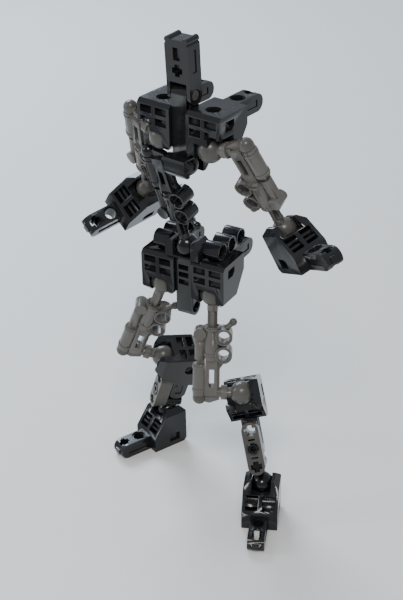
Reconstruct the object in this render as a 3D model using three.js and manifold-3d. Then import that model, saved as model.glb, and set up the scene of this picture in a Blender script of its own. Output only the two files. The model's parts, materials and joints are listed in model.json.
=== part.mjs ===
// Humanoid construction-kit figure of ball-jointed moulded parts.
// Millimetres, +Z up. The figure faces -Y, its left side is +X, and it stands on z = 0.
import * as THREE from 'three';
import { mergeVertices } from 'three/addons/utils/BufferGeometryUtils.js';
import Module from 'manifold-3d';

const wasm = await Module();
wasm.setup();

// ---- Driving dimensions ----
const MODULE = 8; // pitch of the kit's holes
const BEAM = 7.4; // width and height of a beam
const HOLE = 2.45; // radius of a pin hole
const PIN = 2.1; // radius of a pin or of a cross axle in its hole
const AXLE_WIDTH = 4.2; // overall width of a cross axle
const AXLE_RIB = 1.7; // thickness of one arm of the cross
const CLEARANCE = 0.3; // gap between touching pieces
const BALL = 5.1; // ball radius
const CUP = 5.5; // socket radius
const SLOT = 4.2; // half the width of the slot that a ball's neck swings in

const BLOCK_WIDTH = 15.8; // socket block, two modules across
const BLOCK_BACK = 5; // from the ball centre to the heel face
const BLOCK_FRONT = 13; // from the ball centre to the tail's root
const BLOCK_TOP = 3.6; // prong height above the ball centre
const PRONG_BEVEL = 2.4; // bevel along the outer top edge of each prong
const RIM = 1.5; // rim left round the windows and ridges
const RIDGE_GAP = 0.9; // half the bar left between two windows
const BLOCK_DROP = 15.7; // from the ball centre to the sole
const TAIL_DROP = BLOCK_DROP - BEAM / 2; // from the ball centre to the tail's middle
const TAIL_HOLE = 17.3; // first hole through the tail, from the ball centre
const TAIL_END = TAIL_HOLE + MODULE; // second hole and rounded end of the tail

const LIMB_LENGTH = 44; // from the axle ball to the level of the side ball
const LIMB_SIDE = 13; // from the limb's axis to the side ball
const NECK_LENGTH = 14; // bare neck between the axle ball and the limb
const AXLE_DEPTH = 12; // axle inside the limb
const LIMB_BALLS = Math.hypot(LIMB_LENGTH, LIMB_SIDE);

const LIFTARM_LENGTH = 3 * MODULE;
const LIFTARM_DEPTH = 6;
const ANKLE_DOWN = 42.4; // knee ball to ankle ball, along the tail
const ANKLE_BACK = TAIL_DROP; // knee ball to ankle ball, across the tail

const HIP_SPACING = 3 * MODULE; // between the two hip balls, and the two shoulder balls
const STEM_LENGTH = 3.6 * MODULE; // ball centre to the eye of a centre socket
const CUP_FLOOR = 4.2; // ball centre to the underside of a centre socket's cup
const WAIST_RISE = BLOCK_DROP + CLEARANCE + CUP_FLOOR; // waist ball above the hip balls
const CHEST_DROP = BLOCK_TOP + 2 * CLEARANCE + CUP_FLOOR; // column's top ball below the shoulder balls
const HEAD_LENGTH = 22; // from the eye to the top of the head post
const HEAD_HOLE = 10; // from the eye to the head post's cross hole

// ---- Pose at rest: directions in the figure's frame ----
const pose = {
  hipHeight: 101.1,
  thighRight: [-7, 8, -44.4],
  thighLeft: [15.7, -3.6, -43.1],
  shinRightHeading: [-0.93, 0.36],
  shinLeftHeading: [0.78, -0.62],
  shinRightLean: 0.05,
  shinLeftLean: 0.2,
  footRight: [-0.42, -0.91, 0],
  footLeft: [0.37, -0.93, 0],
  kneeDorsalRight: [-0.72, -0.69, 0],
  kneeDorsalLeft: [0.35, -0.8, 0.3],
  spine: [8, -12.5, 43.5],
  chestYaw: -8,
  chestPitch: 0,
  armRight: [-21, 21, -35],
  armLeft: [24, 16.6, -35.6],
  handRight: [-0.36, -0.92, -0.15],
  handLeft: [0.76, -0.5, 0.38],
  handDorsalRight: [0.55, -0.34, 0.76],
  handDorsalLeft: [-0.45, -0.05, 0.85],
  headTilt: 3,
};

// ---- Finishes ----
const finish = (color, roughness) => () =>
  new THREE.MeshStandardMaterial({ color, roughness, metalness: 0 });
const black = finish(0x0c0d10, 0.25);
const grey = finish(0x56524a, 0.4);

// ---- Solids ----
function solid(geometry) {
  const bare = geometry.clone();
  bare.deleteAttribute('normal');
  bare.deleteAttribute('uv');
  const merged = mergeVertices(bare, 1e-4);
  return new wasm.Manifold(new wasm.Mesh({
    numProp: 3,
    vertProperties: new Float32Array(merged.attributes.position.array),
    triVerts: new Uint32Array(merged.index.array),
  }));
}

function geometryOf(manifold) {
  const mesh = manifold.getMesh();
  const geometry = new THREE.BufferGeometry();
  geometry.setAttribute('position', new THREE.BufferAttribute(new Float32Array(mesh.vertProperties), 3));
  geometry.setIndex(new THREE.BufferAttribute(new Uint32Array(mesh.triVerts), 1));
  geometry.computeVertexNormals();
  return geometry;
}

// A box from its lowest to its highest corner.
function box(low, high) {
  const size = high.map((value, i) => value - low[i]);
  const geometry = new THREE.BoxGeometry(...size);
  geometry.translate(...low.map((value, i) => value + size[i] / 2));
  return solid(geometry);
}

// A round bar of the given length, centred on a point, along x, y or z.
function bar(radius, length, axis, [x, y, z], sides = 12, farRadius = radius) {
  const geometry = new THREE.CylinderGeometry(farRadius, radius, length, sides);
  if (axis === 'x') geometry.rotateZ(-Math.PI / 2);
  if (axis === 'z') geometry.rotateX(Math.PI / 2);
  geometry.translate(x, y, z);
  return solid(geometry);
}

// A round bar between two points.
function strut(radius, from, to, sides = 12) {
  const a = new THREE.Vector3(...from);
  const b = new THREE.Vector3(...to);
  const along = b.clone().sub(a);
  const geometry = new THREE.CylinderGeometry(radius, radius, along.length(), sides);
  geometry.applyQuaternion(new THREE.Quaternion().setFromUnitVectors(
    new THREE.Vector3(0, 1, 0), along.clone().normalize()));
  geometry.translate(...a.add(b).multiplyScalar(0.5).toArray());
  return solid(geometry);
}

function ball(radius, [x, y, z], around = 12, up = 6) {
  const geometry = new THREE.SphereGeometry(radius, around, up);
  geometry.translate(x, y, z);
  return solid(geometry);
}

// A plate with a straight-sided outline, between two heights.
// 'xz' is thick along y, 'yz' along x and 'xy' along z.
const planes = {
  xz: { basis: [[1, 0, 0], [0, 0, 1], [0, -1, 0]], shift: (low, high) => [0, high, 0] },
  yz: { basis: [[0, 1, 0], [0, 0, 1], [1, 0, 0]], shift: (low) => [low, 0, 0] },
  xy: { basis: [[1, 0, 0], [0, 1, 0], [0, 0, 1]], shift: (low) => [0, 0, low] },
};
function plate(outline, plane, low, high) {
  const shape = new THREE.Shape(outline.map(([a, b]) => new THREE.Vector2(a, b)));
  const geometry = new THREE.ExtrudeGeometry(shape, { depth: high - low, bevelEnabled: false });
  const basis = planes[plane].basis.map((axis) => new THREE.Vector3(...axis));
  geometry.applyMatrix4(new THREE.Matrix4().makeBasis(...basis));
  geometry.translate(...planes[plane].shift(low, high));
  return solid(geometry);
}

// A cross-shaped bar along x, y or z, used both as axle and as axle hole.
function cross(width, rib, length, axis, [x, y, z]) {
  const half = { x: [length, width, rib], y: [width, length, rib], z: [width, rib, length] }[axis];
  const other = { x: [length, rib, width], y: [rib, length, width], z: [rib, width, length] }[axis];
  const arm = ([a, b, c]) => box([x - a / 2, y - b / 2, z - c / 2], [x + a / 2, y + b / 2, z + c / 2]);
  return arm(half).add(arm(other));
}

// ---- Socket block: ball cup, two ribbed windows in a sloped face, and a tail with holes ----
// Ball centre at the origin, neck of the ball towards +Z, tail towards -Y, sole at -BLOCK_DROP.
const SLOPE_TOP = new THREE.Vector2(-4.5, 4);
const SLOPE_FOOT = new THREE.Vector2(-BLOCK_FRONT, -BLOCK_DROP + BEAM);

// A point of the yz plane, measured down the slope and into it.
function onSlope(down, deep) {
  const along = SLOPE_FOOT.clone().sub(SLOPE_TOP).normalize();
  const inward = new THREE.Vector2(-along.y, along.x);
  return SLOPE_TOP.clone().addScaledVector(along, down).addScaledVector(inward, deep).toArray();
}

function slopeBox(left, right, downFrom, downTo, deepFrom, deepTo) {
  const corners = [[downFrom, deepFrom], [downTo, deepFrom], [downTo, deepTo], [downFrom, deepTo]];
  return plate(corners.map(([down, deep]) => onSlope(down, deep)), 'yz', left, right);
}

// openSide is -1 or 1 where the prong on that side is split for a neck that comes in from the side.
function socketBlock(openSide = 0) {
  const half = BLOCK_WIDTH / 2;
  const sole = -BLOCK_DROP;
  const profile = [
    [-BLOCK_FRONT, sole], [BLOCK_BACK - 1.5, sole], [BLOCK_BACK, sole + 1.5],
    [BLOCK_BACK, BLOCK_TOP - 2], [BLOCK_BACK - 2, BLOCK_TOP], [-2.5, BLOCK_TOP],
    SLOPE_TOP.toArray(), SLOPE_FOOT.toArray(),
  ];
  const tail = box([-BEAM / 2, -TAIL_END, sole], [BEAM / 2, 1 - BLOCK_FRONT, sole + BEAM]);
  const tailEnd = bar(BEAM / 2, BEAM, 'x', [0, -TAIL_END, -TAIL_DROP], 14);
  const lug = box([-1.5, -TAIL_END - BEAM / 2 - 0.4, -TAIL_DROP - 1.2], [1.5, -TAIL_END, -TAIL_DROP + 1.2]);
  let block = plate(profile, 'yz', -half, half).add(tail).add(tailEnd).add(lug);

  // The bevels outside the prongs.
  for (const side of [-1, 1]) {
    const bevel = [[half + 1, BLOCK_TOP + 1], [half - PRONG_BEVEL - 1, BLOCK_TOP + 1],
      [half + 1, BLOCK_TOP - PRONG_BEVEL - 1]];
    const corner = side > 0 ? bevel : bevel.map(([x, z]) => [-x, z]);
    block = block.subtract(plate(corner, 'xz', -BLOCK_FRONT, BLOCK_BACK + 1));
  }

  // The cup and the slot that the ball's neck swings in.
  block = block.subtract(ball(CUP, [0, 0, 0]));
  block = block.subtract(box([-SLOT, -BLOCK_FRONT, -1], [SLOT, BLOCK_BACK + 1, BLOCK_TOP + 1]));
  block = block.subtract(box([-SLOT, 0, -3.4], [SLOT, BLOCK_BACK + 1, BLOCK_TOP + 1]));
  if (openSide) {
    const [left, right] = [openSide * 2, openSide * (half + 1)].sort((a, b) => a - b);
    block = block.subtract(box([left, -4.2, -7], [right, BLOCK_BACK + 1, BLOCK_TOP + 1]));
  }

  // Two windows side by side in the sloped face, each crossed by two ribs.
  const [windowFrom, windowTo] = [6.4, 13];
  for (const side of [-1, 1]) {
    const [left, right] = [side * RIDGE_GAP, side * (half - RIM)].sort((a, b) => a - b);
    let window = slopeBox(left, right, windowFrom, windowTo, -1, 4.2);
    for (const third of [1, 2]) {
      const level = windowFrom + ((windowTo - windowFrom) * third) / 3;
      window = window.subtract(slopeBox(left - 1, right + 1, level - 0.5, level + 0.5, 0.7, 5));
    }
    block = block.subtract(window);
  }

  // Two columns of ridges across the heel face.
  for (const side of [-1, 1]) {
    const [left, right] = [side * RIDGE_GAP, side * (half - RIM)].sort((a, b) => a - b);
    for (const level of [sole + 3.5, sole + 8]) {
      block = block.subtract(box([left, BLOCK_BACK - 1.4, level - 1.5], [right, BLOCK_BACK + 1, level + 1.5]));
    }
  }

  // A D-shaped pocket in each side face.
  const pocket = [[-4.5, sole + 2.5], [1, sole + 2.5], [1, sole + 6.5], [-3, sole + 6.5], [-4.5, sole + 5]];
  block = block.subtract(plate(pocket, 'yz', half - 1.6, half + 1));
  block = block.subtract(plate(pocket, 'yz', -half - 1, 1.6 - half));

  // The tail's cross hole and its pin hole, a pin hole in the sole, and the hole across its end.
  block = block.subtract(bar(HOLE, BEAM + 2, 'z', [0, -TAIL_HOLE, -TAIL_DROP], 10));
  const hole = cross(AXLE_WIDTH + 0.6, AXLE_RIB + 0.6, BEAM + 2, 'z', [0, -TAIL_END, -TAIL_DROP]);
  block = block.subtract(hole);
  block = block.subtract(bar(HOLE, 9, 'z', [0, -2, sole], 10));
  return block;
}

// ---- Ball on a cross axle: ball centre at the origin, axle along -Z ----
function ballAxle(length) {
  const collar = bar(2.3, 3, 'z', [0, 0, -BALL - 0.6], 10);
  return ball(BALL, [0, 0, 0]).add(collar)
    .add(cross(AXLE_WIDTH, AXLE_RIB, length - 3, 'z', [0, 0, -3 - (length - 3) / 2]));
}

// ---- Limb: axle sleeve, web, piston, two pin rings, and a side ball on a ribbed neck ----
// The axle ball's centre is at the origin; the side ball is at (LIMB_SIDE, 0, -LIMB_LENGTH).
function limb() {
  const top = -NECK_LENGTH;
  const level = -LIMB_LENGTH;
  const web = [
    [-3.4, top - 1], [2.5, top - 1], [6, top - 3], [6, top - 15], [3.4, top - 19], [3.4, level - 3],
    [-1, level - 4.6], [-6.4, level - 3], [-6.4, top - 4],
  ];
  let body = plate(web, 'xz', -1.3, 1.3);
  body = body.add(bar(3.6, AXLE_DEPTH + 3, 'z', [0, 0, top - (AXLE_DEPTH + 3) / 2], 10));

  // The brace beside the sleeve, with a slot between them.
  body = body.add(box([-3, -2.6, level - 1], [2.6, 2.6, top - 14]));
  body = body.subtract(box([-1.1, -4, level + 3], [1.1, 4, top - 19]));

  // The piston: a thin rod end, a thicker cylinder and a round nub at both ends.
  const pistonX = -5.2;
  body = body.add(bar(2.3, 12, 'z', [pistonX, 0, top - 9], 8));
  body = body.add(bar(3, 14, 'z', [pistonX, 0, level + 6], 8));
  body = body.add(ball(3, [pistonX, 0, level - 2.5], 8, 6));
  body = body.add(bar(2.7, 6.4, 'y', [pistonX, 0, top - 3.4], 8));

  // Two pin rings along the other edge, and a spur beside them.
  const ringX = 5;
  for (const drop of [4.2, 4.2 + MODULE]) {
    body = body.add(bar(BEAM / 2, BEAM, 'y', [ringX, 0, top - drop], 12));
  }
  body = body.add(strut(1.2, [6, 0, top - 1], [8.5, 0, top + 1.5], 6));
  body = body.add(ball(1.7, [8.8, 0, top + 1.8], 6, 4));
  for (const drop of [4.2, 4.2 + MODULE]) {
    body = body.subtract(bar(HOLE, BEAM + 2, 'y', [ringX, 0, top - drop], 8));
  }

  // The side ball on its finned neck.
  body = body.add(bar(2.2, LIMB_SIDE - 2, 'x', [(LIMB_SIDE + 2) / 2, 0, level], 8));
  body = body.add(bar(3.2, 2.6, 'x', [5.4, 0, level], 8));
  body = body.add(ball(BALL, [LIMB_SIDE, 0, level]));

  // The cross hole that takes the axle.
  const bore = cross(AXLE_WIDTH + 0.6, AXLE_RIB + 0.6, AXLE_DEPTH + 1, 'z', [0, 0, top + 1 - (AXLE_DEPTH + 1) / 2]);
  return body.subtract(bore);
}

// ---- Straight beam with rounded ends and three holes: centre hole at the origin, holes along Z ----
function beamOutline(length, width) {
  const reach = length / 2 - width / 2;
  const arc = (centre, from) => [...Array(9).keys()].map((i) => {
    const angle = from + (Math.PI * i) / 8;
    return [(width / 2) * Math.cos(angle), centre + (width / 2) * Math.sin(angle)];
  });
  return [...arc(reach, 0), ...arc(-reach, Math.PI)];
}

function liftarm() {
  let beam = plate(beamOutline(LIFTARM_LENGTH - 0.6, BEAM), 'xy', -LIFTARM_DEPTH / 2, LIFTARM_DEPTH / 2);
  const through = LIFTARM_DEPTH + 2;
  for (const end of [-MODULE, MODULE]) {
    beam = beam.subtract(cross(AXLE_WIDTH + 0.6, AXLE_RIB + 0.6, through, 'z', [0, end, 0]));
    beam = beam.subtract(box([-1.5, end / 2 - 0.4, -through], [1.5, end / 2 + 0.4, through]));
  }
  return beam.subtract(bar(HOLE, through, 'z', [0, 0, 0], 12));
}

// ---- Hollow pin along Z, its upper end at the origin, with a cross axle below it if asked for ----
function hollowPin(length, axleLength = 0) {
  const pin = bar(PIN, length, 'z', [0, 0, -length / 2], 12).subtract(bar(1.2, 2 * length - 2, 'z', [0, 0, 0], 8));
  if (!axleLength) return pin;
  return pin.add(cross(AXLE_WIDTH - 0.3, AXLE_RIB, axleLength + 1, 'z', [0, 0, 0.5 - length - axleLength / 2]));
}

// ---- Link below the shin: a cross-holed hub along Z at the origin, and a ball on a neck ----
function ankleLink(reach) {
  let link = bar(BEAM / 2 - 0.2, BEAM, 'z', [0, 0, 0], 14);
  link = link.add(bar(2.2, reach, 'y', [0, -reach / 2, 0], 10)).add(ball(BALL, [0, -reach, 0]));
  return link.subtract(cross(AXLE_WIDTH + 0.6, AXLE_RIB + 0.6, BEAM + 2, 'z', [0, 0, 0]));
}

// ---- Hip rail: three hubs in a row along Y joined by a low web, pin holes across ----
function hipRail() {
  let rail = box([-BEAM / 2, -MODULE - 1, -BEAM / 2], [BEAM / 2, MODULE + 1, -0.5]);
  for (const step of [-1, 0, 1]) {
    rail = rail.add(bar(BEAM / 2, BEAM, 'x', [0, step * MODULE, 0], 12));
  }
  for (const step of [-1, 0, 1]) {
    rail = rail.subtract(bar(HOLE, BEAM + 2, 'x', [0, step * MODULE, 0], 8));
  }
  return rail.subtract(bar(HOLE, 8, 'z', [0, -MODULE, -BEAM / 2 - 0.6], 12));
}

// ---- Centre socket: ball cup on a square stem that ends in an eye ----
// Ball centre at the origin, neck of the ball towards +Z, stem towards -Z, eye across the figure.
function centreSocket(turned) {
  const half = BLOCK_WIDTH / 2;
  const cup = [[-half, -CUP_FLOOR], [half, -CUP_FLOOR], [half, BLOCK_TOP - 2], [half - 2, BLOCK_TOP],
    [2 - half, BLOCK_TOP], [-half, BLOCK_TOP - 2]];
  let socket = plate(cup, turned ? 'yz' : 'xz', -BLOCK_BACK, BLOCK_BACK);
  const slotReach = BLOCK_BACK + 1;
  const slot = turned ? [slotReach, SLOT] : [SLOT, slotReach];
  socket = socket.add(box([-BEAM / 2, -BEAM / 2, -STEM_LENGTH], [BEAM / 2, BEAM / 2, 0.5 - CUP_FLOOR]));
  socket = socket.add(bar(BEAM / 2, BEAM, 'x', [0, 0, -STEM_LENGTH], 18));
  socket = socket.subtract(ball(CUP, [0, 0, 0]));
  socket = socket.subtract(box([-slot[0], -slot[1], -3.3], [slot[0], slot[1], BLOCK_TOP + 1]));
  // A round-topped recess in the front of the stem, with two ribs left in it.
  for (const level of [-9, -12.5, -16]) {
    socket = socket.subtract(box([-2.4, -BEAM / 2 - 1, level - 1.2], [2.4, 1.8 - BEAM / 2, level + 1.2]));
  }
  return socket.subtract(bar(HOLE, BEAM + 2, 'x', [0, 0, -STEM_LENGTH], 12));
}

// ---- Head post: fork over the chest eye at the origin, beam upwards ----
function headPost() {
  const half = BEAM / 2;
  const cheek = half + CLEARANCE + 1.5;
  const outline = [[-cheek, 6.5], [cheek, 6.5], [cheek, HEAD_LENGTH - 2], [cheek - 2, HEAD_LENGTH],
    [2 - cheek, HEAD_LENGTH], [-cheek, HEAD_LENGTH - 2]];
  let post = plate(outline, 'xz', -half, half);
  post = post.add(bar(half, 2 * cheek, 'x', [0, 0, 0], 18)).add(box([-cheek, -half, 0], [cheek, half, 7]));
  post = post.subtract(box([-half - CLEARANCE, -5, -5], [half + CLEARANCE, 5, half + 1.5]));
  for (const side of [-1, 1]) {
    post = post.add(bar(1.3, BEAM, 'y', [side * (cheek - 1.4), 0, HEAD_LENGTH - 0.4], 8));
  }
  post = post.subtract(box([-1.6, -half - 1, HEAD_LENGTH - 8], [1.6, 1.4 - half, HEAD_LENGTH - 3]));
  const hole = [0, 0, HEAD_HOLE];
  return post.subtract(cross(AXLE_WIDTH + 0.6, AXLE_RIB + 0.6, BEAM + 2, 'y', hole))
    .subtract(bar(HOLE, BEAM + 6, 'x', [0, 0, 0], 12));
}

// ---- Assembly ----
const group = new THREE.Group();
const figure = new THREE.Group();
group.add(figure);

function place(name, manifold, material, parent, position = [0, 0, 0], rotation = [0, 0, 0]) {
  const mesh = new THREE.Mesh(geometryOf(manifold), material());
  mesh.name = name;
  mesh.position.set(...position);
  mesh.rotation.set(...rotation);
  parent.add(mesh);
  return mesh;
}

// A group at a point, whose three axes are given as directions in the parent's frame.
function frameAt(position, xAxis, yAxis, zAxis) {
  const frame = new THREE.Group();
  frame.position.copy(position);
  frame.setRotationFromMatrix(new THREE.Matrix4().makeBasis(xAxis, yAxis, zAxis));
  figure.add(frame);
  return frame;
}

const vector = (values) => new THREE.Vector3(...values);

// The part of a direction that is square to another one, at unit length.
function squareTo(direction, axis) {
  return direction.clone().addScaledVector(axis, -direction.dot(axis)).normalize();
}

// A socket block's frame: ball at a point, tail and dorsal directions.
function blockFrame(position, tail, dorsal) {
  const yAxis = tail.clone().normalize().negate();
  const zAxis = squareTo(dorsal, yAxis);
  return frameAt(position, new THREE.Vector3().crossVectors(yAxis, zAxis), yAxis, zAxis);
}

// A limb's frame: axle ball at a point, side ball along a direction, and the side it stands off to.
function limbFrame(position, toSideBall, sideHint) {
  const reach = toSideBall.clone().normalize();
  const across = squareTo(sideHint, reach);
  const angle = Math.atan2(LIMB_SIDE, LIMB_LENGTH);
  const down = reach.clone().multiplyScalar(Math.cos(angle)).addScaledVector(across, -Math.sin(angle));
  const xAxis = reach.clone().multiplyScalar(Math.sin(angle)).addScaledVector(across, Math.cos(angle));
  const zAxis = down.negate();
  return frameAt(position, xAxis, new THREE.Vector3().crossVectors(zAxis, xAxis), zAxis);
}

// Joint centres in the figure's frame, kept for the groups below.
const hipMiddle = new THREE.Vector3(0, 0, pose.hipHeight);
const hip = (side) => hipMiddle.clone().add(new THREE.Vector3((side * HIP_SPACING) / 2, 0, 0));
const waist = hipMiddle.clone().add(new THREE.Vector3(0, 0, WAIST_RISE));
const chestBall = waist.clone().addScaledVector(vector(pose.spine).normalize(), LIMB_BALLS);
const UP = new THREE.Vector3(0, 0, 1);

// Pelvis: two hip blocks with their soles up, the waist block between them, and what is pinned on.
const pelvis = new THREE.Group();
pelvis.position.copy(hipMiddle);
figure.add(pelvis);
const railLevel = BLOCK_DROP + CLEARANCE + BEAM / 2;
const sides = { right: -1, left: 1 };
for (const [side, sign] of Object.entries(sides)) {
  const x = (sign * HIP_SPACING) / 2;
  place(`hip_block_${side}`, socketBlock(), black, pelvis, [x, 0, 0], [Math.PI, 0, 0]);
  place(`hip_rail_${side}`, hipRail(), black, pelvis, [x, 2 + MODULE, railLevel]);
  place(`hip_rail_pin_${side}`, hollowPin(6.4), black, pelvis, [x, 2, BLOCK_DROP + 3.4]);
}
place('waist_socket', centreSocket(false), black, pelvis, [0, 0, WAIST_RISE]);

// Column: the waist ball on its axle and the limb standing on it.
const columnFrame = limbFrame(waist, vector(pose.spine), new THREE.Vector3(0.99, -0.1, 0));
place('waist_ball_axle', ballAxle(NECK_LENGTH + AXLE_DEPTH - 1), black, columnFrame);
place('column_limb', limb(), black, columnFrame);

// Chest: two shoulder blocks with their soles up, and the chest block between them.
const chest = new THREE.Group();
chest.rotation.set(THREE.MathUtils.degToRad(pose.chestPitch), 0, THREE.MathUtils.degToRad(pose.chestYaw));
chest.position.copy(chestBall).add(new THREE.Vector3(0, 0, CHEST_DROP).applyEuler(chest.rotation));
figure.add(chest);
for (const [side, sign] of Object.entries(sides)) {
  place(`shoulder_block_${side}`, socketBlock(sign), black, chest,
    [(sign * HIP_SPACING) / 2, 0, 0], [Math.PI, 0, 0]);
}
place('chest_socket', centreSocket(true), black, chest, [0, 0, -CHEST_DROP], [Math.PI, 0, 0]);

// Head post, forked over the eye of the chest socket and pinned through it.
const head = new THREE.Group();
head.position.set(0, 0, STEM_LENGTH - CHEST_DROP);
head.rotation.set(THREE.MathUtils.degToRad(pose.headTilt), 0, 0);
chest.add(head);
place('head_post', headPost(), black, head);
place('head_pin', bar(PIN, 10.4, 'x', [0, 0, 0], 12), grey, head);
chest.updateMatrixWorld(true);

// Arms: a limb hung by its side ball, an axle ball at its other end, and a hand block on that ball.
const armHint = { right: [-0.81, 0.1, 0.57], left: [1, 0, 0] };
for (const [side, sign] of Object.entries(sides)) {
  const name = side === 'right' ? 'Right' : 'Left';
  const shoulder = chest.localToWorld(new THREE.Vector3((sign * HIP_SPACING) / 2, 0, 0));
  const reach = vector(pose[`arm${name}`]).setLength(LIMB_BALLS);
  const wrist = shoulder.clone().add(reach);
  const arm = limbFrame(wrist, reach.clone().negate(), vector(armHint[side]).negate());
  place(`upper_arm_${side}`, limb(), grey, arm);
  place(`hand_ball_axle_${side}`, ballAxle(NECK_LENGTH + AXLE_DEPTH - 1), grey, arm);
  const hand = blockFrame(wrist, vector(pose[`hand${name}`]), vector(pose[`handDorsal${name}`]));
  place(`hand_block_${side}`, socketBlock(), black, hand);
}

// Legs: a limb on an axle ball, a knee block with its tail down, a liftarm, a link and a foot block.
// The lean of the shin that puts the ankle ball at foot height; it is at least leastLean.
function shinTail(knee, heading, dorsal, leastLean) {
  const level = vector([...heading, 0]).normalize();
  let [low, high] = [leastLean, 1.5];
  let tail = new THREE.Vector3();
  for (let step = 0; step < 40; step += 1) {
    const angle = (low + high) / 2;
    tail = level.clone().multiplyScalar(Math.sin(angle)).addScaledVector(UP, -Math.cos(angle));
    const ankle = knee.z + tail.z * ANKLE_DOWN - squareTo(dorsal, tail).z * ANKLE_BACK;
    if (ankle > BLOCK_DROP) high = angle;
    else low = angle;
  }
  return tail;
}

const legSide = new THREE.Vector3(0.89, 0.45, 0);
for (const [side, sign] of Object.entries(sides)) {
  const name = side === 'right' ? 'Right' : 'Left';
  const reach = vector(pose[`thigh${name}`]).setLength(LIMB_BALLS);
  const thigh = limbFrame(hip(sign), reach, legSide);
  place(`hip_ball_axle_${side}`, ballAxle(NECK_LENGTH + AXLE_DEPTH - 1), grey, thigh);
  place(`thigh_${side}`, limb(), grey, thigh);
  const knee = hip(sign).add(reach);
  const dorsal = vector(pose[`kneeDorsal${name}`]);
  const tail = shinTail(knee, pose[`shin${name}Heading`], dorsal, pose[`shin${name}Lean`]);
  const shin = blockFrame(knee, tail, dorsal);
  const armLevel = BEAM / 2 + CLEARANCE + LIFTARM_DEPTH / 2 - TAIL_DROP;
  place(`knee_block_${side}`, socketBlock(side === 'left' ? -1 : 0), black, shin);
  place(`shin_liftarm_${side}`, liftarm(), grey, shin, [0, -TAIL_END, armLevel]);
  place(`shin_pin_${side}`, hollowPin(LIFTARM_DEPTH, 6), black, shin,
    [0, -TAIL_END, armLevel + LIFTARM_DEPTH / 2]);
  place(`ankle_link_${side}`, ankleLink(ANKLE_DOWN - TAIL_END - MODULE), black, shin,
    [0, -TAIL_END - MODULE, -TAIL_DROP]);
  place(`shin_axle_${side}`, cross(AXLE_WIDTH, AXLE_RIB, 11, 'z', [0, 0, 0]), black, shin,
    [0, -TAIL_END - MODULE, armLevel - 4]);
  shin.updateMatrixWorld(true);
  const ankle = shin.localToWorld(new THREE.Vector3(0, -ANKLE_DOWN, -ANKLE_BACK));
  const foot = blockFrame(ankle, vector(pose[`foot${name}`]), UP);
  place(`foot_block_${side}`, socketBlock(), black, foot);
}

// The origin is on the floor, in the middle of the figure's extent.
group.updateMatrixWorld(true);
const extent = new THREE.Box3().setFromObject(group, true);
const middle = extent.getCenter(new THREE.Vector3());
figure.position.set(-middle.x, -middle.y, -extent.min.z);
group.updateMatrixWorld(true);

export default group;
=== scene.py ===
import bpy
import bmesh
import json
import math
import numpy as np
from mathutils import Matrix, Vector


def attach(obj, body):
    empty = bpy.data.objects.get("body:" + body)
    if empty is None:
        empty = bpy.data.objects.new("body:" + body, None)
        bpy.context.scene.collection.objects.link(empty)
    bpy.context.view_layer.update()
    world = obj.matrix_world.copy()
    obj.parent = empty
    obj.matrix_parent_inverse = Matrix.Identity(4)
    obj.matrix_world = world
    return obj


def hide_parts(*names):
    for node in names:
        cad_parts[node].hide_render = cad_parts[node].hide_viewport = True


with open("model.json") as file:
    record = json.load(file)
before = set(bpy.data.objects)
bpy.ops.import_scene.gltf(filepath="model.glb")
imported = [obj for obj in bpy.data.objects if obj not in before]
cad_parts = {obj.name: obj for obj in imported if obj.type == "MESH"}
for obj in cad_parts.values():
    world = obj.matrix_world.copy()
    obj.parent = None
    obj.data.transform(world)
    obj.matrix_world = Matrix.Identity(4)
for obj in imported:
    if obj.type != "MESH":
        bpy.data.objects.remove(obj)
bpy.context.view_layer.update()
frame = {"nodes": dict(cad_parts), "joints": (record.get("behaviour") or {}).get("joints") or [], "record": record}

MILLIMETRES, METRES = 1000, 0.001    # in one metre, and the other way round

MODULE = 8
BEAM = 7.4
HOLE = 2.45
PIN = 2.1
AXLE_WIDTH = 4.2
AXLE_RIB = 1.7
CLEARANCE = 0.3
BALL = 5.1
CUP = 5.5
SLOT = 4.2
BLOCK_WIDTH = 15.8
BLOCK_BACK = 5
BLOCK_FRONT = 13
BLOCK_TOP = 3.6
BLOCK_DROP = 15.7
PRONG_BEVEL = 2.4
TAIL_DROP = BLOCK_DROP - BEAM / 2
TAIL_HOLE = 17.3
TAIL_END = TAIL_HOLE + MODULE
LIMB_LENGTH = 44
LIMB_SIDE = 13
NECK_LENGTH = 14
AXLE_DEPTH = 12
LIFTARM_DEPTH = 6
ANKLE_DOWN = 42.4
STEM_LENGTH = 3.6 * MODULE
CUP_FLOOR = 4.2
WAIST_RISE = BLOCK_DROP + CLEARANCE + CUP_FLOOR
CHEST_DROP = BLOCK_TOP + 2 * CLEARANCE + CUP_FLOOR
HEAD_LENGTH = 22
HEAD_HOLE = 10
HEAD_TILT = math.radians(3)

# Details of the mouldings, in millimetres
THROUGH = BEAM + 2    # a cutter of this length goes right through a beam
COUNTERBORE = HOLE + 0.65
COUNTERBORE_CUT = 1.2
WINDOW_TOP, WINDOW_FOOT, WINDOW_DEPTH, WINDOW_GAP = 6.4, 13, 4.2, 0.9
RIB_PITCH, RIB_HALF, RIB_SINK = 2.2, 0.5, 0.7
WALL = 1.5
HEEL_GROOVES, HEEL_DEPTH = (3.5, 8), 1.4
STEM_GROOVES = (-9, -12.5, -16)
PISTON_OFFSET = -5.2
RING_OFFSET, RING_DROPS = 5, (4.2, 4.2 + MODULE)
EDGE_BEVEL = 0.22

# Edges past this angle are bevelled and shaded sharp, and the smoothest rounds have this many sides
SHARP_ANGLE = math.radians(38)
SMOOTH = 48
X, Y, Z = Vector((1, 0, 0)), Vector((0, 1, 0)), Vector((0, 0, 1))


# ---- Solids, joined and cut with Blender's own boolean ----
def from_bmesh(bm):
    bmesh.ops.recalc_face_normals(bm, faces=bm.faces)
    mesh = bpy.data.meshes.new("solid")
    bm.to_mesh(mesh)
    bm.free()
    obj = bpy.data.objects.new("solid", mesh)
    bpy.context.scene.collection.objects.link(obj)
    return obj


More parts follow.
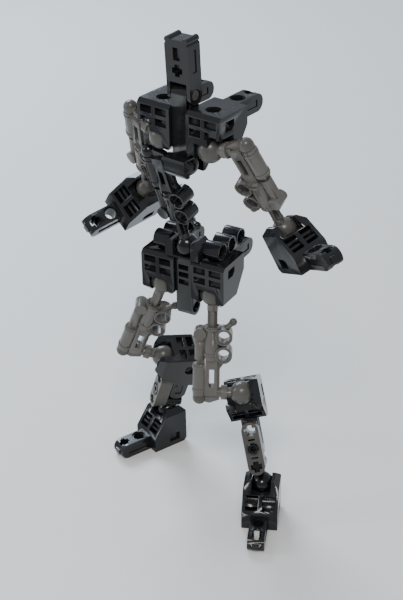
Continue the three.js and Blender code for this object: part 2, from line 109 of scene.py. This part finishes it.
def evaluated(obj):
    bpy.context.view_layer.update()
    mesh = bpy.data.meshes.new_from_object(obj.evaluated_get(bpy.context.evaluated_depsgraph_get()))
    obj.modifiers.clear()
    obj.data = mesh
    return obj


def boolean(a, b, operation):
    modifier = a.modifiers.new("boolean", "BOOLEAN")
    modifier.operation = operation
    modifier.solver = "MANIFOLD"
    modifier.object = b
    evaluated(a)
    bpy.data.objects.remove(b)
    return a


def add(a, *others):
    for other in others:
        boolean(a, other, "UNION")
    return a


def cut(a, *others):
    for other in others:
        boolean(a, other, "DIFFERENCE")
    return a


def box(low, high):
    bm = bmesh.new()
    bmesh.ops.create_cube(bm, size=1)
    size = [b - a for a, b in zip(low, high)]
    middle = [(a + b) / 2 for a, b in zip(low, high)]
    bm.transform(Matrix.Translation(middle) @ Matrix.Diagonal((*size, 1)))
    return from_bmesh(bm)


def bar(radius, length, axis, centre, sides=40):
    bm = bmesh.new()
    bmesh.ops.create_cone(bm, cap_ends=True, segments=sides, radius1=radius, radius2=radius, depth=length)
    turn = {"x": Matrix.Rotation(math.pi / 2, 4, "Y"), "y": Matrix.Rotation(-math.pi / 2, 4, "X"),
            "z": Matrix.Identity(4)}[axis]
    bm.transform(Matrix.Translation(centre) @ turn)
    return from_bmesh(bm)


def strut(radius, start, end, sides=24):
    start, end = Vector(start), Vector(end)
    bm = bmesh.new()
    bmesh.ops.create_cone(bm, cap_ends=True, segments=sides, radius1=radius, radius2=radius,
                          depth=(end - start).length)
    turn = Z.rotation_difference(end - start).to_matrix().to_4x4()
    bm.transform(Matrix.Translation((start + end) / 2) @ turn)
    return from_bmesh(bm)


def ball(radius, centre, around=40):
    bm = bmesh.new()
    bmesh.ops.create_uvsphere(bm, u_segments=around, v_segments=around // 2, radius=radius)
    bm.transform(Matrix.Translation(centre))
    return from_bmesh(bm)


PLANES = {"xz": (X, Z, -Y), "yz": (Y, Z, X), "xy": (X, Y, Z)}


def plate(outline, plane, low, high):
    """An outline in one plane, made solid from low to high across it."""
    a, b, c = PLANES[plane]
    # An xz outline faces -Y, so its solid starts at high and runs back to low.
    base = c * low if plane != "xz" else c * -high
    bm = bmesh.new()
    ring = [bm.verts.new(a * u + b * v + base) for u, v in outline]
    face = bm.faces.new(ring)
    moved = bmesh.ops.extrude_face_region(bm, geom=[face])["geom"]
    points = [g for g in moved if isinstance(g, bmesh.types.BMVert)]
    bmesh.ops.translate(bm, verts=points, vec=c * (high - low))
    return from_bmesh(bm)


def cross(width, rib, length, axis, centre):
    sizes = {"x": ((length, width, rib), (length, rib, width)),
             "y": ((width, length, rib), (rib, length, width)),
             "z": ((width, rib, length), (rib, width, length))}[axis]
    arms = [box([c - s / 2 for c, s in zip(centre, size)], [c + s / 2 for c, s in zip(centre, size)])
            for size in sizes]
    return add(*arms)


def cross_hole(length, axis, centre):
    return cross(AXLE_WIDTH + 2 * CLEARANCE, AXLE_RIB + 2 * CLEARANCE, length, axis, centre)


def counterbore(axis, centre):
    return bar(COUNTERBORE, COUNTERBORE_CUT, axis, centre)


# ---- Socket block ----
SLOPE_TOP = Vector((-4.5, 4))
SLOPE_FOOT = Vector((-BLOCK_FRONT, -BLOCK_DROP + BEAM))


def on_slope(down, deep):
    """The (y, z) of a point so far down the sloped front face, and so deep behind it."""
    along = (SLOPE_FOOT - SLOPE_TOP).normalized()
    inward = Vector((-along.y, along.x))
    return tuple(SLOPE_TOP + along * down + inward * deep)


def slope_box(left, right, down_from, down_to, deep_from, deep_to):
    corners = [(down_from, deep_from), (down_to, deep_from), (down_to, deep_to), (down_from, deep_to)]
    return plate([on_slope(*corner) for corner in corners], "yz", left, right)


def socket_block(open_side=0):
    """The block, with its ball cup at the origin.

    open_side is -1 or 1 where the prong on that side is split for a neck that comes in from the side.
    """
    half = BLOCK_WIDTH / 2
    sole = -BLOCK_DROP
    profile = [(-BLOCK_FRONT, sole), (BLOCK_BACK - 1.5, sole), (BLOCK_BACK, sole + 1.5),
               (BLOCK_BACK, BLOCK_TOP - 2), (BLOCK_BACK - 2, BLOCK_TOP), (-2.5, BLOCK_TOP),
               tuple(SLOPE_TOP), tuple(SLOPE_FOOT)]
    block = plate(profile, "yz", -half, half)
    add(block, box((-BEAM / 2, -TAIL_END, sole), (BEAM / 2, 1 - BLOCK_FRONT, sole + BEAM)),
        bar(BEAM / 2, BEAM, "x", (0, -TAIL_END, -TAIL_DROP), SMOOTH),
        box((-1.5, -TAIL_END - BEAM / 2 - 0.4, -TAIL_DROP - 1.2), (1.5, -TAIL_END, -TAIL_DROP + 1.2)))
    for side in (-1, 1):
        corner = [(side * (half + 1), BLOCK_TOP + 1), (side * (half - PRONG_BEVEL - 1), BLOCK_TOP + 1),
                  (side * (half + 1), BLOCK_TOP - PRONG_BEVEL - 1)]
        cut(block, plate(corner, "xz", -BLOCK_FRONT, BLOCK_BACK + 1))
    cut(block, ball(CUP, (0, 0, 0), SMOOTH),
        box((-SLOT, -BLOCK_FRONT, -1), (SLOT, BLOCK_BACK + 1, BLOCK_TOP + 1)),
        box((-SLOT, 0, -3.4), (SLOT, BLOCK_BACK + 1, BLOCK_TOP + 1)))
    if open_side:
        left, right = sorted((open_side * 2, open_side * (half + 1)))
        cut(block, box((left, -4.2, -7), (right, BLOCK_BACK + 1, BLOCK_TOP + 1)))
    for side in (-1, 1):
        left, right = sorted((side * WINDOW_GAP, side * (half - WALL)))
        window = slope_box(left, right, WINDOW_TOP, WINDOW_FOOT, -1, WINDOW_DEPTH)
        for third in (1, 2):
            level = WINDOW_TOP + RIB_PITCH * third
            cut(window, slope_box(left - 1, right + 1, level - RIB_HALF, level + RIB_HALF, RIB_SINK, 5))
        cut(block, window)
        for height in HEEL_GROOVES:
            level = sole + height
            cut(block, box((left, BLOCK_BACK - HEEL_DEPTH, level - 1.5),
                           (right, BLOCK_BACK + 1, level + 1.5)))
    pocket = [(-4.5, sole + 2.5), (1, sole + 2.5), (1, sole + 6.5), (-3, sole + 6.5), (-4.5, sole + 5)]
    cut(block, plate(pocket, "yz", half - 1.6, half + 1), plate(pocket, "yz", -half - 1, 1.6 - half))
    cut(block, bar(HOLE, THROUGH, "z", (0, -TAIL_HOLE, -TAIL_DROP)),
        cross_hole(THROUGH, "z", (0, -TAIL_END, -TAIL_DROP)),
        bar(HOLE, 9, "z", (0, -2, sole)))
    # Counterbores round the holes and a shallow panel line along the tail, too fine for the CAD.
    for level in (sole, sole + BEAM):
        cut(block, counterbore("z", (0, -TAIL_HOLE, level)))
    cut(block, counterbore("z", (0, -2, sole)))
    for side in (-1, 1):
        cut(block, box((side * BEAM / 2 - 0.35, -TAIL_END, -TAIL_DROP - 1.4),
                       (side * BEAM / 2 + 0.35, -BLOCK_FRONT - 0.6, -TAIL_DROP + 1.4)))
    return block


# ---- Ball on a cross axle, and the double-ball limb ----
def ball_axle(length):
    axle = ball(BALL, (0, 0, 0), SMOOTH)
    return add(axle, bar(2.3, 3, "z", (0, 0, -BALL - 0.6)),
               cross(AXLE_WIDTH, AXLE_RIB, length - 3, "z", (0, 0, -3 - (length - 3) / 2)))


def limb():
    """The axle's ball is at the origin, and the limb hangs down from it to its side ball."""
    top, level, piston, ring = -NECK_LENGTH, -LIMB_LENGTH, PISTON_OFFSET, RING_OFFSET
    web = [(-3.4, top - 1), (2.5, top - 1), (6, top - 3), (6, top - 15), (3.4, top - 19), (3.4, level - 3),
           (-1, level - 4.6), (-6.4, level - 3), (-6.4, top - 4)]
    body = plate(web, "xz", -1.3, 1.3)
    add(body, bar(3.6, AXLE_DEPTH + 3, "z", (0, 0, top - (AXLE_DEPTH + 3) / 2)),
        box((-3, -2.6, level - 1), (2.6, 2.6, top - 14)))
    cut(body, box((-1.1, -4, level + 3), (1.1, 4, top - 19)))
    add(body, bar(2.3, 12, "z", (piston, 0, top - 9)), bar(3, 14, "z", (piston, 0, level + 6)),
        ball(3, (piston, 0, level - 2.5), 32), bar(2.7, 6.4, "y", (piston, 0, top - 3.4)))
    # The raised bands round the cylinder and the sleeve, too fine for the CAD.
    for band in (level + 1.2, level + 11.6):
        add(body, bar(3.25, 1.1, "z", (piston, 0, band)))
    for band in (top - 1.2, top - 12.5):
        add(body, bar(3.9, 1.1, "z", (0, 0, band)))
    for drop in RING_DROPS:
        add(body, bar(BEAM / 2, BEAM, "y", (ring, 0, top - drop), SMOOTH))
    add(body, strut(1.2, (6, 0, top - 1), (8.5, 0, top + 1.5)), ball(1.7, (8.8, 0, top + 1.8), 24))
    for drop in RING_DROPS:
        cut(body, bar(HOLE, THROUGH, "y", (ring, 0, top - drop)))
        for side in (-1, 1):
            cut(body, counterbore("y", (ring, side * BEAM / 2, top - drop)))
    add(body, bar(2.2, LIMB_SIDE - 2, "x", ((LIMB_SIDE + 2) / 2, 0, level)),
        bar(3.2, 2.6, "x", (5.4, 0, level)), ball(BALL, (LIMB_SIDE, 0, level), SMOOTH))
    return cut(body, cross_hole(AXLE_DEPTH + 1, "z", (0, 0, top + 1 - (AXLE_DEPTH + 1) / 2)))


# ---- Beams, pins, links, sockets and the head post ----
def beam_outline(length, width):
    reach = length / 2 - width / 2
    points = []
    for centre, start in ((reach, 0), (-reach, math.pi)):
        for i in range(25):
            angle = start + math.pi * i / 24
            points.append((width / 2 * math.cos(angle), centre + width / 2 * math.sin(angle)))
    return points


def liftarm():
    beam = plate(beam_outline(3 * MODULE - 0.6, BEAM), "xy", -LIFTARM_DEPTH / 2, LIFTARM_DEPTH / 2)
    through = LIFTARM_DEPTH + 2
    for end in (-MODULE, MODULE):
        cut(beam, cross_hole(through, "z", (0, end, 0)),
            box((-1.5, end / 2 - 0.4, -through), (1.5, end / 2 + 0.4, through)))
    cut(beam, bar(HOLE, through, "z", (0, 0, 0)))
    for side in (-1, 1):
        cut(beam, counterbore("z", (0, 0, side * LIFTARM_DEPTH / 2)))
    return beam


def hollow_pin(length, axle=0):
    pin = cut(bar(PIN, length, "z", (0, 0, -length / 2)), bar(1.2, 2 * length - 2, "z", (0, 0, 0), 24))
    if axle:
        add(pin, cross(AXLE_WIDTH - 0.3, AXLE_RIB, axle + 1, "z", (0, 0, 0.5 - length - axle / 2)))
    return pin


def ankle_link(reach):
    link = add(bar(BEAM / 2 - 0.2, BEAM, "z", (0, 0, 0), SMOOTH), bar(2.2, reach, "y", (0, -reach / 2, 0)),
               ball(BALL, (0, -reach, 0), SMOOTH))
    return cut(link, cross_hole(THROUGH, "z", (0, 0, 0)))


def hip_rail():
    rail = box((-BEAM / 2, -MODULE - 1, -BEAM / 2), (BEAM / 2, MODULE + 1, -0.5))
    for step in (-1, 0, 1):
        add(rail, bar(BEAM / 2, BEAM, "x", (0, step * MODULE, 0), SMOOTH))
    for step in (-1, 0, 1):
        cut(rail, bar(HOLE, THROUGH, "x", (0, step * MODULE, 0)))
        for side in (-1, 1):
            cut(rail, counterbore("x", (side * BEAM / 2, step * MODULE, 0)))
    return cut(rail, bar(HOLE, 8, "z", (0, -MODULE, -BEAM / 2 - 0.6)))


def centre_socket(turned):
    """A ball cup on a square stem with an eye. The cup's slot runs along y, or along x if turned."""
    half = BLOCK_WIDTH / 2
    cup = [(-half, -CUP_FLOOR), (half, -CUP_FLOOR), (half, BLOCK_TOP - 2), (half - 2, BLOCK_TOP),
           (2 - half, BLOCK_TOP), (-half, BLOCK_TOP - 2)]
    socket = plate(cup, "yz" if turned else "xz", -BLOCK_BACK, BLOCK_BACK)
    reach = BLOCK_BACK + 1
    slot = (reach, SLOT) if turned else (SLOT, reach)
    add(socket, box((-BEAM / 2, -BEAM / 2, -STEM_LENGTH), (BEAM / 2, BEAM / 2, 0.5 - CUP_FLOOR)),
        bar(BEAM / 2, BEAM, "x", (0, 0, -STEM_LENGTH), SMOOTH))
    cut(socket, ball(CUP, (0, 0, 0), SMOOTH),
        box((-slot[0], -slot[1], -3.3), (slot[0], slot[1], BLOCK_TOP + 1)))
    for level in STEM_GROOVES:
        cut(socket, box((-2.4, -BEAM / 2 - 1, level - 1.2), (2.4, 1.8 - BEAM / 2, level + 1.2)))
    return cut(socket, bar(HOLE, THROUGH, "x", (0, 0, -STEM_LENGTH)))


def head_post():
    half = BEAM / 2
    cheek = half + CLEARANCE + 1.5
    outline = [(-cheek, 6.5), (cheek, 6.5), (cheek, HEAD_LENGTH - 2), (cheek - 2, HEAD_LENGTH),
               (2 - cheek, HEAD_LENGTH), (-cheek, HEAD_LENGTH - 2)]
    post = plate(outline, "xz", -half, half)
    add(post, bar(half, 2 * cheek, "x", (0, 0, 0), SMOOTH), box((-cheek, -half, 0), (cheek, half, 7)))
    cut(post, box((-half - CLEARANCE, -5, -5), (half + CLEARANCE, 5, half + 1.5)))
    for side in (-1, 1):
        add(post, bar(1.3, BEAM, "y", (side * (cheek - 1.4), 0, HEAD_LENGTH - 0.4), 24))
    cut(post, box((-1.6, -half - 1, HEAD_LENGTH - 8), (1.6, 1.4 - half, HEAD_LENGTH - 3)),
        cross_hole(THROUGH, "y", (0, 0, HEAD_HOLE)),
        bar(HOLE, BEAM + 6, "x", (0, 0, 0)))
    # The thin moulding step down each side face.
    for side in (-1, 1):
        cut(post, box((side * cheek - 0.4, -1.2, 9), (side * cheek + 0.4, 1.2, HEAD_LENGTH - 4)))
    return post


# ---- Frames of the pieces, from the joints and the CAD nodes ----
joint = {j["name"]: (Vector(j["pos_m"]) * MILLIMETRES, Vector(j["axis"])) for j in frame["joints"]}
node_body = {n: body for body, names in frame["record"]["behaviour"]["bodies"].items() for n in names}
node_slot = {s["node"]: s["material_slot"] for s in frame["record"]["subparts"]}


def basis(position, x, y, z):
    m = Matrix((x, y, z)).transposed().to_4x4()
    m.translation = position
    return m


def from_x_and_z(position, x, z):
    x = x.normalized()
    z = (z - x * z.dot(x)).normalized()
    return basis(position, x, z.cross(x), z)


def limb_frame(axle_ball, side_ball, x):
    return from_x_and_z(axle_ball, x, axle_ball + x * LIMB_SIDE - side_ball)


def moments(node):
    """Surface centroid, principal axes and the skew along each, in millimetres."""
    mesh = frame["nodes"][node].data
    mesh.calc_loop_triangles()
    co = np.array([v.co for v in mesh.vertices]) * MILLIMETRES
    tri = co[np.array([t.vertices for t in mesh.loop_triangles])]
    area = np.linalg.norm(np.cross(tri[:, 1] - tri[:, 0], tri[:, 2] - tri[:, 0]), axis=1) / 2
    centre = (tri.mean(1) * area[:, None]).sum(0) / area.sum()
    tri = tri - centre
    mid = tri.mean(1)
    second = np.einsum("t,tki,tkj->ij", area, tri, tri) + 9 * np.einsum("t,ti,tj->ij", area, mid, mid)
    axes = np.linalg.eigh(second)[1]
    skew = ((mid @ axes) ** 3 * area[:, None]).sum(0)
    return centre, axes, skew


def matched_frame(node, reference, known):
    """The frame of a node whose shape is the reference node's, and the reference node's frame is known."""
    c0, e0, s0 = moments(reference)
    c1, e1, s1 = moments(node)
    flat = int(np.argmin(abs(s0)))
    for axes, skew in ((e0, s0), (e1, s1)):
        for i in range(3):
            if i != flat and skew[i] < 0:
                axes[:, i] *= -1
        if np.linalg.det(axes) < 0:
            axes[:, flat] *= -1
    turn = Matrix((e1 @ e0.T).tolist()).to_4x4()
    return Matrix.Translation(c1) @ turn @ Matrix.Translation(-Vector(c0)) @ known


FLIP = Matrix.Rotation(math.pi, 4, "X")    # turns a piece upside down
frames = {}
hips = {side: joint[f"hip_swing_{side}"][0] for side in ("right", "left")}
shoulders = {side: joint[f"shoulder_swing_{side}"][0] for side in ("right", "left")}
pelvis = Matrix.Translation((hips["right"] + hips["left"]) / 2)
chest = from_x_and_z((shoulders["right"] + shoulders["left"]) / 2, shoulders["left"] - shoulders["right"], Z)
frames["waist_socket"] = pelvis @ Matrix.Translation((0, 0, WAIST_RISE))
frames["chest_socket"] = chest @ Matrix.Translation((0, 0, -CHEST_DROP)) @ FLIP
column = limb_frame(joint["waist_bend"][0], joint["chest_nod"][0], joint["chest_nod"][1])
frames["column_limb"] = frames["waist_ball_axle"] = column
head = chest @ Matrix.Translation((0, 0, STEM_LENGTH - CHEST_DROP)) @ Matrix.Rotation(HEAD_TILT, 4, "X")
frames["head_post"] = frames["head_pin"] = head
rail_level = BLOCK_DROP + CLEARANCE + BEAM / 2
arm_level = BEAM / 2 + CLEARANCE + LIFTARM_DEPTH / 2 - TAIL_DROP
for side, sign in (("right", -1), ("left", 1)):
    across = sign * 1.5 * MODULE
    frames[f"hip_block_{side}"] = pelvis @ Matrix.Translation((across, 0, 0)) @ FLIP
    frames[f"hip_rail_{side}"] = pelvis @ Matrix.Translation((across, 2 + MODULE, rail_level))
    frames[f"hip_rail_pin_{side}"] = pelvis @ Matrix.Translation((across, 2, BLOCK_DROP + 3.4))
    frames[f"shoulder_block_{side}"] = chest @ Matrix.Translation((across, 0, 0)) @ FLIP
    frames[f"foot_block_{side}"] = from_x_and_z(*joint[f"ankle_bend_{side}"], Z)
    arm_x = joint[f"shoulder_swing_{side}"][1] * -sign
    arm = limb_frame(joint[f"wrist_bend_{side}"][0], shoulders[side], arm_x)
    frames[f"upper_arm_{side}"] = frames[f"hand_ball_axle_{side}"] = arm
    thigh = limb_frame(hips[side], *joint[f"knee_bend_{side}"])
    frames[f"thigh_{side}"] = frames[f"hip_ball_axle_{side}"] = thigh
# One joint doesn't fix which way a hand or a knee block faces, so their frames are matched
# with a block of the same shape whose frame is known.
for side in ("right", "left"):
    foot = "foot_block_right"
    frames[f"hand_block_{side}"] = matched_frame(f"hand_block_{side}", foot, frames[foot])
    like = foot if side == "right" else "shoulder_block_right"
    shin = matched_frame(f"knee_block_{side}", like, frames[like])
    frames[f"knee_block_{side}"] = shin
    frames[f"shin_liftarm_{side}"] = shin @ Matrix.Translation((0, -TAIL_END, arm_level))
    frames[f"shin_pin_{side}"] = shin @ Matrix.Translation((0, -TAIL_END, arm_level + LIFTARM_DEPTH / 2))
    frames[f"ankle_link_{side}"] = shin @ Matrix.Translation((0, -TAIL_END - MODULE, -TAIL_DROP))
    frames[f"shin_axle_{side}"] = shin @ Matrix.Translation((0, -TAIL_END - MODULE, arm_level - 4))


# ---- Materials ----
MIX_A, MIX_B, MIX_RESULT = 6, 7, 2    # the colour sockets of a Mix node


def plastic(name, dark, light, roughness, dust):
    """Moulded plastic in two close tones, with dust, paler edges, a fine grain and long scratches."""
    material = bpy.data.materials.new(name)
    material.use_nodes = True
    nodes, links = material.node_tree.nodes, material.node_tree.links
    shader = nodes["Principled BSDF"]
    where = nodes.new("ShaderNodeTexCoord").outputs["Object"]

    def noise(scale, detail, source=where):
        node = nodes.new("ShaderNodeTexNoise")
        node.inputs["Scale"].default_value = scale
        node.inputs["Detail"].default_value = detail
        links.new(source, node.inputs["Vector"])
        return node.outputs["Fac"]

    def ramp(source, low, high, low_value, high_value):
        node = nodes.new("ShaderNodeMapRange")
        node.inputs["From Min"].default_value = low
        node.inputs["From Max"].default_value = high
        node.inputs["To Min"].default_value = low_value
        node.inputs["To Max"].default_value = high_value
        links.new(source, node.inputs["Value"])
        return node.outputs["Result"]

    def mix(factor, a, b):
        node = nodes.new("ShaderNodeMix")
        node.data_type = "RGBA"
        links.new(factor, node.inputs["Factor"])
        for socket, value in ((node.inputs[MIX_A], a), (node.inputs[MIX_B], b)):
            if isinstance(value, tuple):
                socket.default_value = (*value, 1)
            else:
                links.new(value, socket)
        return node.outputs[MIX_RESULT]

    stretch = nodes.new("ShaderNodeMapping")
    stretch.inputs["Rotation"].default_value = (0.5, 0.9, 0.3)
    stretch.inputs["Scale"].default_value = (1, 14, 14)
    links.new(where, stretch.inputs["Vector"])
    scratches = ramp(noise(260, 3, stretch.outputs["Vector"]), 0.66, 0.74, 0, 1)
    blotches = ramp(noise(90, 4), 0.35, 0.65, 0, 1)
    grain = noise(2600, 2)
    edge = ramp(nodes.new("ShaderNodeNewGeometry").outputs["Pointiness"], 0.56, 0.7, 0, 0.3)
    colour = mix(blotches, dark, light)
    colour = mix(ramp(noise(420, 5), 0.6, 0.8, 0, 0.35), colour, dust)
    colour = mix(edge, colour, tuple(min(1, 1.9 * v + 0.02) for v in light))
    links.new(colour, shader.inputs["Base Color"])
    rough = nodes.new("ShaderNodeMath")
    rough.operation = "ADD"
    links.new(ramp(noise(150, 5), 0.3, 0.7, roughness - 0.05, roughness + 0.08), rough.inputs[0])
    links.new(ramp(scratches, 0, 1, 0, 0.14), rough.inputs[1])
    links.new(rough.outputs[0], shader.inputs["Roughness"])
    bump = nodes.new("ShaderNodeBump")
    bump.inputs["Strength"].default_value = 0.22
    bump.inputs["Distance"].default_value = 0.00006
    height = nodes.new("ShaderNodeMath")
    height.operation = "SUBTRACT"
    links.new(grain, height.inputs[0])
    links.new(ramp(scratches, 0, 1, 0, 0.8), height.inputs[1])
    links.new(height.outputs[0], bump.inputs["Height"])
    links.new(bump.outputs["Normal"], shader.inputs["Normal"])
    shader.inputs["IOR"].default_value = 1.5
    shader.inputs["Specular IOR Level"].default_value = 0.36
    shader.inputs["Coat Weight"].default_value = 0.1
    shader.inputs["Coat Roughness"].default_value = 0.12
    return material


materials = {
    "black_plastic": plastic("black_plastic", (0.0022, 0.0024, 0.003), (0.0045, 0.0047, 0.0056), 0.16,
                             (0.011, 0.0115, 0.013)),
    "grey_plastic": plastic("grey_plastic", (0.062, 0.058, 0.051), (0.085, 0.079, 0.07), 0.3,
                            (0.11, 0.104, 0.094)),
}

# ---- Pieces: each is its CAD node's shape, with finer curves, softened edges and small details ----
shapes = {
    "block": socket_block(), "block_right": socket_block(-1), "block_left": socket_block(1),
    "axle_ball": ball_axle(NECK_LENGTH + AXLE_DEPTH - 1), "limb": limb(), "liftarm": liftarm(),
    "rail": hip_rail(), "rail_pin": hollow_pin(6.4), "shin_pin": hollow_pin(LIFTARM_DEPTH, 6),
    "link": ankle_link(ANKLE_DOWN - TAIL_END - MODULE),
    "shin_axle": cross(AXLE_WIDTH, AXLE_RIB, 11, "z", (0, 0, 0)),
    "head_pin": bar(PIN, 10.4, "x", (0, 0, 0)), "head": head_post(),
    "waist": centre_socket(False), "chest": centre_socket(True),
}
for obj in shapes.values():
    bevel = obj.modifiers.new("edges", "BEVEL")
    bevel.width = EDGE_BEVEL
    bevel.segments = 2
    bevel.limit_method = "ANGLE"
    bevel.angle_limit = SHARP_ANGLE
    bevel.use_clamp_overlap = True
    evaluated(obj)
    obj.data.shade_smooth()
    obj.data.set_sharp_from_angle(angle=SHARP_ANGLE)
    normals = obj.modifiers.new("normals", "WEIGHTED_NORMAL")
    normals.keep_sharp = True
    normals.weight = 100
    evaluated(obj)

node_shape = {"waist_socket": "waist", "chest_socket": "chest", "waist_ball_axle": "axle_ball",
              "column_limb": "limb", "head_post": "head", "head_pin": "head_pin"}
for side in ("right", "left"):
    node_shape.update({
        f"hip_block_{side}": "block", f"hip_rail_{side}": "rail", f"hip_rail_pin_{side}": "rail_pin",
        f"shoulder_block_{side}": f"block_{side}", f"upper_arm_{side}": "limb",
        f"hand_ball_axle_{side}": "axle_ball", f"hand_block_{side}": "block",
        f"hip_ball_axle_{side}": "axle_ball", f"thigh_{side}": "limb",
        f"knee_block_{side}": "block" if side == "right" else "block_right",
        f"shin_liftarm_{side}": "liftarm", f"shin_pin_{side}": "shin_pin", f"ankle_link_{side}": "link",
        f"shin_axle_{side}": "shin_axle", f"foot_block_{side}": "block",
    })
to_metres = Matrix.Scale(METRES, 4)
for node, shape in node_shape.items():
    mesh = shapes[shape].data.copy()
    mesh.transform(to_metres @ frames[node])
    mesh.materials.clear()
    mesh.materials.append(materials[node_slot[node]])
    piece = bpy.data.objects.new(f"{node}_fine", mesh)
    bpy.context.scene.collection.objects.link(piece)
    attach(piece, node_body[node])
    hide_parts(node)
for obj in shapes.values():
    bpy.data.objects.remove(obj)

# ---- Floor, light and camera, in metres ----
FLOOR_HALF = 12
LIGHT_AIM = Vector((0, 0, 0.11))
CAMERA_FROM_HIPS = (0.2388, -0.3975)
CAMERA_HEIGHT = 0.3602
CAMERA_DOWN, CAMERA_ROLL, CAMERA_ROUND = (math.radians(29.8), math.radians(0.9), math.radians(29.8))

bm = bmesh.new()
bmesh.ops.create_grid(bm, x_segments=8, y_segments=8, size=FLOOR_HALF)
floor_mesh = bpy.data.meshes.new("floor")
bm.to_mesh(floor_mesh)
bm.free()
floor = bpy.data.objects.new("floor", floor_mesh)
bpy.context.scene.collection.objects.link(floor)
floor_material = bpy.data.materials.new("floor")
floor_material.use_nodes = True
floor_shader = floor_material.node_tree.nodes["Principled BSDF"]
floor_shader.inputs["Base Color"].default_value = (0.82, 0.81, 0.79, 1)
floor_shader.inputs["Roughness"].default_value = 0.6
floor_mesh.materials.append(floor_material)

world = bpy.data.worlds.new("studio")
bpy.context.scene.world = world
world.use_nodes = True
sky = world.node_tree.nodes["Background"]
sky.inputs["Color"].default_value = (0.8, 0.86, 0.95, 1)
sky.inputs["Strength"].default_value = 0.55


def area_light(name, position, size, power, colour):
    data = bpy.data.lights.new(name, "AREA")
    data.shape = "RECTANGLE"
    data.size, data.size_y = size
    data.energy = power
    data.color = colour
    light = bpy.data.objects.new(name, data)
    light.location = position
    light.rotation_euler = (LIGHT_AIM - light.location).to_track_quat("-Z", "Y").to_euler()
    bpy.context.scene.collection.objects.link(light)


area_light("window", (-0.75, 0.55, 0.75), (0.55, 0.4), 11, (0.74, 0.87, 1))
area_light("key", (0.35, -0.7, 1.0), (0.45, 0.3), 8, (1, 0.97, 0.93))
area_light("side", (-0.9, -0.5, 0.5), (0.25, 0.5), 2.5, (0.85, 0.93, 1))

ground = (hips["right"] + hips["left"]) / 2 * METRES
camera_data = bpy.data.cameras.new("camera")
camera_data.sensor_fit = "VERTICAL"
camera_data.sensor_height = 36
camera_data.lens = 75
camera = bpy.data.objects.new("camera", camera_data)
camera.location = (ground.x + CAMERA_FROM_HIPS[0], ground.y + CAMERA_FROM_HIPS[1], CAMERA_HEIGHT)
camera.rotation_euler = (math.radians(90) - CAMERA_DOWN, CAMERA_ROLL, CAMERA_ROUND)
bpy.context.scene.collection.objects.link(camera)
bpy.context.scene.camera = camera
